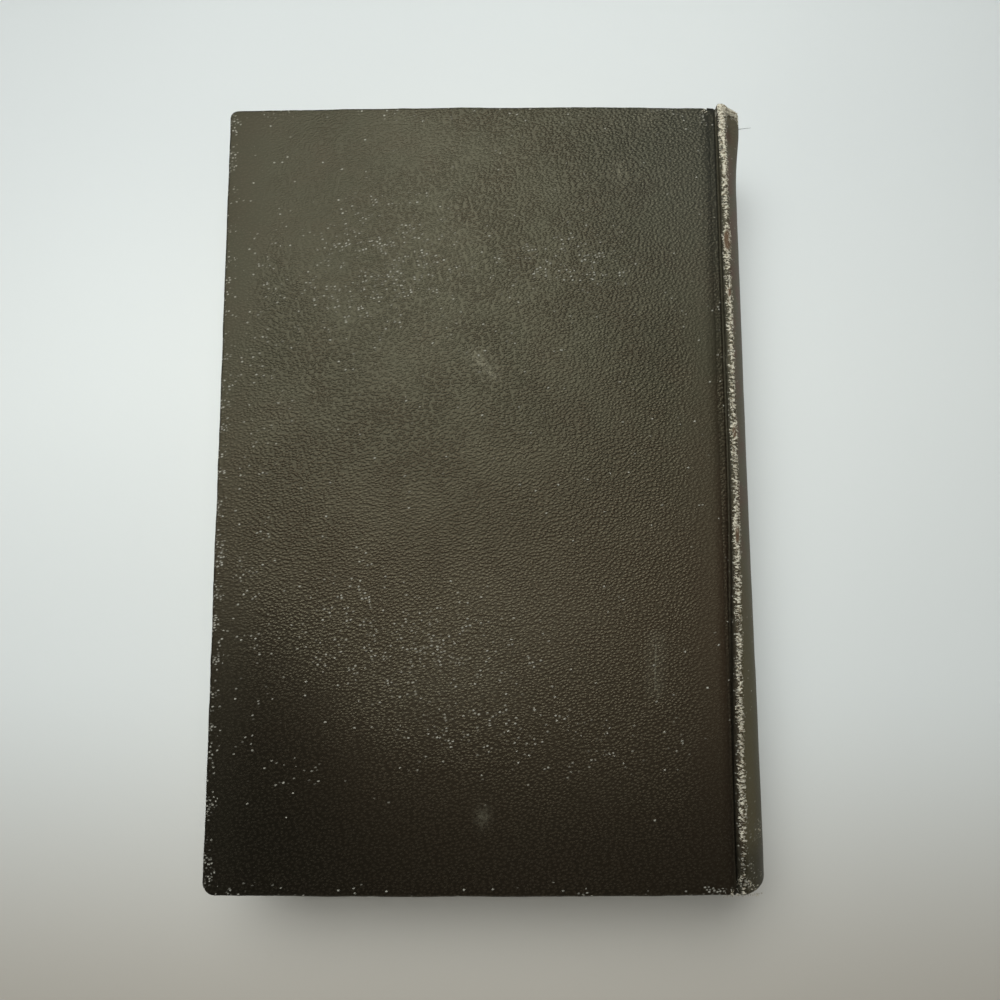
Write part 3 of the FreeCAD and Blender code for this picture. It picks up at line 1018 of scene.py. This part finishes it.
def spine_cloth():
    """Cloth over the ridges and round the spine, folded in at head and tail."""
    line = spine_profile()
    lengths = along_lengths(line)
    foot = line[0][1]
    fold = FOLD_THICKNESS / 2
    rows = spine_rows(fold)
    points = []
    cloth = []
    found = []
    for share, beyond, sunk in rows:
        for (x, z, across, up), along in zip(line, lengths):
            reach = spine_end(x, share) - fold
            y = share * reach + beyond + head_cap(x) * smooth(share, 0.94, 1.0)
            thin = sunk if across > 0.2 else sunk * 0.6
            wobble = 0.05 * ripple(y, along, 7, 5.5)
            shift = spine_skew(x, y) + cap_swell(x, y, z)
            climbed = clamp((abs(z) - foot) / (RIDGE_Z + RIDGE_RADIUS - foot))
            z += copysign(groove_lift(y) * (1 - climbed) * (x < RIDGE_X), z)
            x = x + shift - across * thin + across * wobble
            z = MID_Z + z - up * thin + up * wobble
            points.append((x, y, z))
            cloth.append((along, share * reach + copysign(2 * sunk, share), 0.0))
            found.append(spine_wear(along, (lengths[-1] + lengths[0]) - along, x, y))
    faces = grid_faces(len(rows), len(line))
    piece = add_piece("spine_cover_cloth", points, faces, CLOTH_MATERIAL, gathered(found, cloth))
    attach(piece, "block")
    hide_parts("spine_cloth")


# Strips along the grooves

STRIP_STEPS = 30
STRIP_ROWS = 130


def hinge_strip(name, side, path, half_y, thickness, material, wear_at):
    """Sheet along the groove, from the cover to the block, following a path of places and depths."""
    points = []
    cloth = []
    found = []
    for y in spaced(-half_y, half_y, STRIP_ROWS):
        raised = groove_lift(y) / FULL_LIFT
        fine = [path(t, raised) for t in spaced(0, 1, STRIP_STEPS)]
        loop = fine + [(x, depth + thickness) for x, depth in fine[::-1]]
        for x, depth in loop:
            shift = spine_skew(RIDGE_X, y) * smooth(x, JOINT_X, WALL_X)
            points.append((x + shift, y, level(side, x, depth)))
            cloth.append((x, y, 0.0))
        found += [wear_at(y)] * len(loop)
    faces = tube_faces(STRIP_ROWS + 1, len(loop))
    piece = add_piece(name, points, faces, material, gathered(found, cloth), flip=side == "front")
    cover_end = (JOINT_X * MM, 0, level(side, JOINT_X, 0) * MM)
    block_end = (WALL_X * MM, 0, level(side, JOINT_X, 0) * MM)
    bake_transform(piece)


def groove_cloth(side):
    """Cover cloth rolling off the cover's edge and along the bottom of the groove."""
    def path(t, raised):
        deep = 0.50 + 0.4 * t + 2.1 * smooth(t, 0.45, 0.9)
        shallow = 0.20 + 0.25 * t + 0.5 * smooth(t, 0.72, 1)
        return JOINT_X - 0.5 + 2.3 * t, blend(deep, shallow, raised)

    def wear_at(y):
        # painted shade in the groove, and the cover's painted shade at the joint
        return {"wear": 0.02, "flat": 0.35, "bare": -2.0, "torn": 0.0, "smear": 0.0, "spine": 0.0,
                "grime": 0.5 * groove_painted_shade(y), "tone": cover_painted_light_level(JOINT_X, y)}

    hinge_strip(side + "_groove_cloth", side, path, HALF_HEIGHT - 0.15, 0.3, CLOTH_MATERIAL,
                wear_at)


def hinge_paper(side):
    """Endpaper across the hinge, from the pastedown to the flyleaf."""
    def path(t, raised):
        return JOINT_X - 1.6 + 4.1 * t, 3.1 + 0.53 * smooth(t, 0, 0.6)

    hinge_strip(side + "_hinge_paper", side, path, PAGE_Y, 0.15, ENDPAPER_MATERIAL, lambda y: {})


PASTE_COLUMNS = 118
PASTE_ROWS = 189
SOFT_STEP = 1.6


def pastedown(side):
    """Endpaper pasted inside a cover, drawn softly over the turned-in cloth and the mull."""
    start_x = FORE_X + PASTEDOWN_MARGIN
    half_y = HALF_HEIGHT - PASTEDOWN_MARGIN
    points = []
    for y in spaced(-half_y, half_y, PASTE_ROWS):
        outer = []
        inner = []
        for x in spaced(start_x, FLAP_EDGE_X, PASTE_COLUMNS):
            over_cloth = 1 - smooth(edge_distance(x, y) - TURN_IN, 0.0, SOFT_STEP)
            over_mull = smooth(x - FLAP_EDGE_X + FLAP_WIDTH, -SOFT_STEP, 0.0)
            over_mull *= smooth(mull_high[1] - abs(y), -SOFT_STEP, 0.0)
            raised = max(CLOTH * over_cloth, MULL * over_mull)
            outer.append((x, y, level(side, x, BOARD_FOOT + 0.5 * raised)))
            inner.append((x, y, level(side, x, BOARD_FOOT + (raised + ENDPAPER))))
        points += outer + inner[::-1]
    faces = tube_faces(PASTE_ROWS + 1, 2 * (PASTE_COLUMNS + 1))
    piece = add_piece(side + "_paste_paper", points, faces, ENDPAPER_MATERIAL, flip=side == "front")
    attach(piece, side + "_cover")
    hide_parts(side + "_pastedown")


# Pages

PAGE_SEED = 11
LEAF_GROUPS = 84
HOLLOW = 2.5
SHOULDER_SHARE = 0.93

# Places of the leaf lines on the pages' edges, and dust there
LEAF_SPREAD = 11.0
FORE_LEAVES = 40.0
HEAD_DUST = 0.75
TAIL_DUST = 0.25


def block_place(x, share):
    """Height of a leaf in the block, which swells over the shoulders into the round spine."""
    top = level("back", x, FLYLEAF_FOOT + 0.2)
    half = (top - BLOCK_FOOT) / 2
    flare = RIDGE_Z + 0.7 - half
    half = half + flare * smooth(x, RIDGE_X - 1.0, RIDGE_X + 0.2)
    return clamp((top + BLOCK_FOOT) / 2 + share * half, block_low[2], block_high[2])


def page_block():
    """Sewn pages: groups of leaves, each a little out of line with the next."""
    random.seed(PAGE_SEED)
    stations = spaced(0, SHOULDER_SHARE, 22)[:-1] + spaced(SHOULDER_SHARE, 1, 12)
    levels = spaced(-1, 1, LEAF_GROUPS)
    spine_bulge = block_high[0] - RIDGE_X
    points = []
    faces = []
    leaf = []
    dust = []
    for group in range(LEAF_GROUPS):
        fore = uniform(-0.12, 0.05) + 0.1 * ripple(group, 0, 6, 2.2)
        head = uniform(-0.08, 0.0)
        tail = uniform(-0.10, 0.0)
        faces += tube_faces(len(stations), 4, len(points))
        low, high = levels[group:group + 2]
        tail_y = -PAGE_Y - tail
        head_y = PAGE_Y + head
        for column, t in enumerate(stations):
            for share, y in ((high, tail_y), (low, tail_y), (low, head_y), (high, head_y)):
                round_share = 1 - share * share
                start = PAGE_X + HOLLOW * round_share - fore
                end = RIDGE_X + spine_bulge * round_share + 0.05
                x = blend(start, end, t)
                shift = spine_skew(x, y) * smooth(x, JOINT_X, RIDGE_X)
                points.append((x + shift, y, block_place(x, share)))
                leaf.append((x + y, share * LEAF_SPREAD + FORE_LEAVES * (column == 0), 0.0))
                dust.append(HEAD_DUST if y > 0 else TAIL_DUST)
    marks = {"leaf": leaf, "dust": dust}
    piece = add_piece("page_block", points, faces, page_edge_material(), marks, smooth_faces=False)
    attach(piece, "block")
    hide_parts("text_block")


MULL_ROWS = 40


def spine_mull():
    """Open-weave cloth glued over the block's spine and out over both shoulders."""
    tip = RIDGE_RADIUS - CLOTH
    bulge = mull_high[0] - tip - RIDGE_X
    radius = (RIDGE_Z ** 2 + bulge ** 2) / (2 * bulge)
    centre_x = RIDGE_X + bulge - radius
    lean = atan2(RIDGE_Z, RIDGE_X - centre_x)
    floor_z = level("back", RIDGE_X, GROOVE_DEPTH + CLOTH) - MID_Z
    half = [(JOINT_X + 0.5, floor_z), (RIDGE_X - tip - 0.2, floor_z), (RIDGE_X - tip, floor_z + 0.3)]
    round_line = arc(RIDGE_X, RIDGE_Z, tip, spaced(pi, lean, 8))
    round_line += arc(centre_x, 0.0, radius + tip, spaced(lean, 0.0, 8)[1:])
    half += [(x, z) for x, z, across, up in round_line]
    line = half + [(x, -z) for x, z in half[-2::-1]]
    points = []
    for y in spaced(mull_low[1], mull_high[1], MULL_ROWS):
        points += [(x + spine_skew(x, y), y, MID_Z + z) for x, z in line]
    faces = grid_faces(MULL_ROWS + 1, len(line))
    piece = add_piece("spine_mull_cloth", points, faces, MULL_MATERIAL)
    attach(piece, "block")
    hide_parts("spine_mull")


# Loose and frayed threads

THREAD_SEED = 23
THREAD_SIDES = 5
HEAD_TUFT = 80
STRIP_FUZZ = 170
TAIL_FUZZ = 70


def thread_points(path, radius):
    """Rings of points round a path, closer towards its end."""
    points = []
    for index, place in enumerate(path):
        way = (path[min(index + 1, len(path) - 1)] - path[max(index - 1, 0)]).normalized()
        side = way.cross(Vector((0.3, 0.2, 1))).normalized()
        up = side.cross(way)
        thin = radius * (1 - 0.6 * (index / (len(path) - 1)) ** 3)
        for turn in range(THREAD_SIDES):
            angle = 2 * pi * turn / THREAD_SIDES
            points.append(place + side * (thin * cos(angle)) + up * (thin * sin(angle)))
    return points


def thread_piece(name, threads, material):
    """Piece made of threads, each a path and a radius, on the block."""
    points = []
    faces = []
    for path, radius in threads:
        faces += tube_faces(len(path), THREAD_SIDES, len(points))
        points += thread_points(path, radius)
    piece = add_piece(name, points, faces, material)
    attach(piece, "block")


def curl(start, way, length, bend, steps=7):
    """Path that sets off one way and curls as it goes."""
    path = [start]
    heading = way.normalized()
    for step in range(steps):
        heading = (heading + bend * (1.0 / steps)).normalized()
        path.append(path[-1] + heading * (length / steps))
    return path


def random_vector(*ranges):
    return Vector([uniform(low, high) for low, high in ranges])


def scattered(spread):
    return random_vector((-1, 1), (-1, 1), (-1, 1)) * spread


def ridge_place(along, y):
    """Place on the back ridge's cloth, a distance along it from its top."""
    angle = along / RIDGE_RADIUS
    x = RIDGE_X + RIDGE_RADIUS * sin(angle)
    return Vector((x + spine_skew(RIDGE_X, y), y, MID_Z + RIDGE_Z + RIDGE_RADIUS * cos(angle)))


def head_thread():
    """Broken thread that stands out of the spine's head."""
    along = uniform(-1.0, 4.4)
    start = ridge_place(min(along, 1.6), HALF_HEIGHT - uniform(0.1, 1.6))
    start.x += max(0.0, along - 1.6)
    start.z -= max(0.0, along - 1.6) * 0.5
    start.y = min(start.y, spine_end(start.x, 1) - 0.2)
    way = random_vector((0.0, 1.0), (-0.1, 0.7), (0.0, 0.35))
    bend = random_vector((0.0, 1.2), (-1.4, 0.0), (-1.6, -0.4))
    return curl(start, way, uniform(0.5, 1.3), bend), uniform(0.06, 0.12)


def strip_thread():
    """Short fuzz at an edge of the worn strip."""
    y = uniform(-94, 95)
    edge = random.choice((-1, 1))
    start = ridge_place(strip_centre(y) + edge * uniform(0.3, 0.8), y)
    way = Vector((edge * uniform(0.5, 1.0), uniform(-0.5, 0.5), uniform(0.0, 0.3)))
    path = curl(start, way, uniform(0.2, 0.5), Vector((0, 0, -0.9)) + scattered(0.5), 4)
    return path, uniform(0.03, 0.06)


def tail_thread():
    """Short fuzz at the tail of the joint and the spine."""
    x = uniform(RIDGE_X - 6, SPINE_X - 2.4)
    reach = spine_end(x, -1) if x > JOINT_X + 1 else HALF_HEIGHT
    height = MID_Z + RIDGE_Z + RIDGE_RADIUS - 0.15 - 0.09 * max(0.0, x - RIDGE_X) ** 2
    start = Vector((x, -reach + uniform(0.1, 0.5), height - uniform(0.0, 0.4)))
    way = random_vector((-0.6, 0.6), (-1.0, -0.1), (-0.2, 0.6))
    return curl(start, way, uniform(0.3, 0.8), scattered(1.0), 4), uniform(0.03, 0.06)


def frayed_threads():
    """Broken cloth threads at the head, along the worn strip and at the tail."""
    random.seed(THREAD_SEED)
    kinds = [head_thread] * HEAD_TUFT + [strip_thread] * STRIP_FUZZ + [tail_thread] * TAIL_FUZZ
    thread_piece("frayed_threads", [make_thread() for make_thread in kinds], THREAD_MATERIAL)


def loose_thread():
    """One thread hanging out of the spine's head corner."""
    start = Vector((SPINE_X - 1.7, HALF_HEIGHT - 2.6, MID_Z + 8.6))
    path = curl(start, Vector((1, -0.05, 0.3)), 4.9, Vector((0.1, 0.2, -0.35)), 10)
    material = thread_material("loose_thread", LOOSE_THREAD, LOOSE_THREAD)
    thread_piece("loose_thread", [(path, 0.07)], material)


# Build the pieces

for cover_side in ("back", "front"):
    cover_cloth(cover_side)
    groove_cloth(cover_side)
    hinge_paper(cover_side)
    pastedown(cover_side)
spine_cloth()
page_block()
spine_mull()
frayed_threads()
loose_thread()

NODE_MATERIALS = {
    MULL_MATERIAL: ("back_mull_flap", "front_mull_flap"),
    board_material("kraft_paper", KRAFT_PALE, KRAFT_DARK): ("spine_lining",),
    board_material("grey_board", GREY_PALE, GREY_DARK): ("spine_stiffener", "back_board", "front_board"),
    band_material(): ("head_band", "tail_band"),
    ENDPAPER_MATERIAL: ("back_flyleaf", "front_flyleaf"),
}
for material, nodes in NODE_MATERIALS.items():
    for node in nodes:
        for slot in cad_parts[node].material_slots:
            slot.material = material


# Floor, window light and soft fill

# painted shadow on the floor: a little darker beyond the head, darker and warmer in front
FLOOR_PAINTED_HEAD_SHADE = (0.66, 0.69, 0.67, 1)
FLOOR_PALE = (0.74, 0.77, 0.74, 1)
FLOOR_PAINTED_SHADOW = (0.50, 0.468, 0.40, 1)
FLOOR_HALF = 2600
ROOM_COLOUR = (0.92, 0.96, 1.0, 1)


def floor():
    """Pale table top with painted shadow, darker and warmer in front and a little darker beyond the head;
    far off it is seen as a plain pale backdrop.
    """
    g = material_graph("table_top")
    place = g.place()
    cloudy = g.noise(place, 0.004, 2.0)
    along = g.axes(place)[1]
    colour = g.mix(g.step(along, -45, -150), FLOOR_PALE, FLOOR_PAINTED_SHADOW)
    colour = g.mix(g.step(along, 20, 120), colour, FLOOR_PAINTED_HEAD_SHADE)
    colour = g.shade(g.step(cloudy, 0.3, 0.7, 0.97, 1.02), colour)
    away = g.vectors("LENGTH", place, output="Value")
    g.feed(g.shader.inputs["Emission Color"], FLOOR_PALE)
    seen = g.add("LightPath", {}).outputs["Is Camera Ray"]
    g.feed(g.shader.inputs["Emission Strength"], g.times(seen, g.step(away, 230, 480)))
    material = g.finish(colour, 0.6, g.bump(g.noise(place, 0.8, 3.0), 0.01), 0.2)
    corners = [(x * FLOOR_HALF, y * FLOOR_HALF, 0) for x, y in ((-1, -1), (1, -1), (1, 1), (-1, 1))]
    piece = add_piece("table_top", corners, [(0, 1, 2, 3)], material, smooth_faces=False)


def area_light(name, place, target, size, watts, colour, spread=180):
    """Lamp aimed at a target; places and size in millimetres, spread in degrees."""
    data = bpy.data.lights.new(name, "AREA")
    data.spread = radians(spread)
    data.shape = "RECTANGLE"
    data.size, data.size_y = (value * MM for value in size)
    data.energy = watts
    data.color = colour
    way = Vector(target) - Vector(place)
    add_object(name, data, place, way.to_track_quat("-Z", "Y").to_euler())


def world_light(strength):
    """Soft light from all round; seen directly it is plain white."""
    g = Graph(bpy.data.worlds.new("room"))
    soft = g.tree.nodes["Background"]
    g.feed(soft.inputs["Color"], ROOM_COLOUR)
    g.feed(soft.inputs["Strength"], strength)
    white = g.add("Background", {"Color": (1, 1, 1, 1)})
    seen = g.add("LightPath", {}).outputs["Is Camera Ray"]
    mixed = g.add("MixShader", {0: seen, 1: soft.outputs[0], 2: white.outputs[0]})
    g.feed(g.tree.nodes["World Output"].inputs[0], mixed.outputs[0])
    bpy.context.scene.world = g.owner


floor()
area_light("window", (-105, 280, 500), (0, 70, 0), (600, 320), 0.95, (0.97, 0.99, 1.0), 80)
area_light("overhead", (74, 35, 520), (20, 0, 0), (220, 180), 0.38, (1.0, 0.985, 0.95))
area_light("fill", (20, -480, 190), (0, -90, 0), (420, 120), 0.14, (1.0, 0.98, 0.94))
world_light(0.12)

bpy.context.scene.view_settings.view_transform = "Standard"
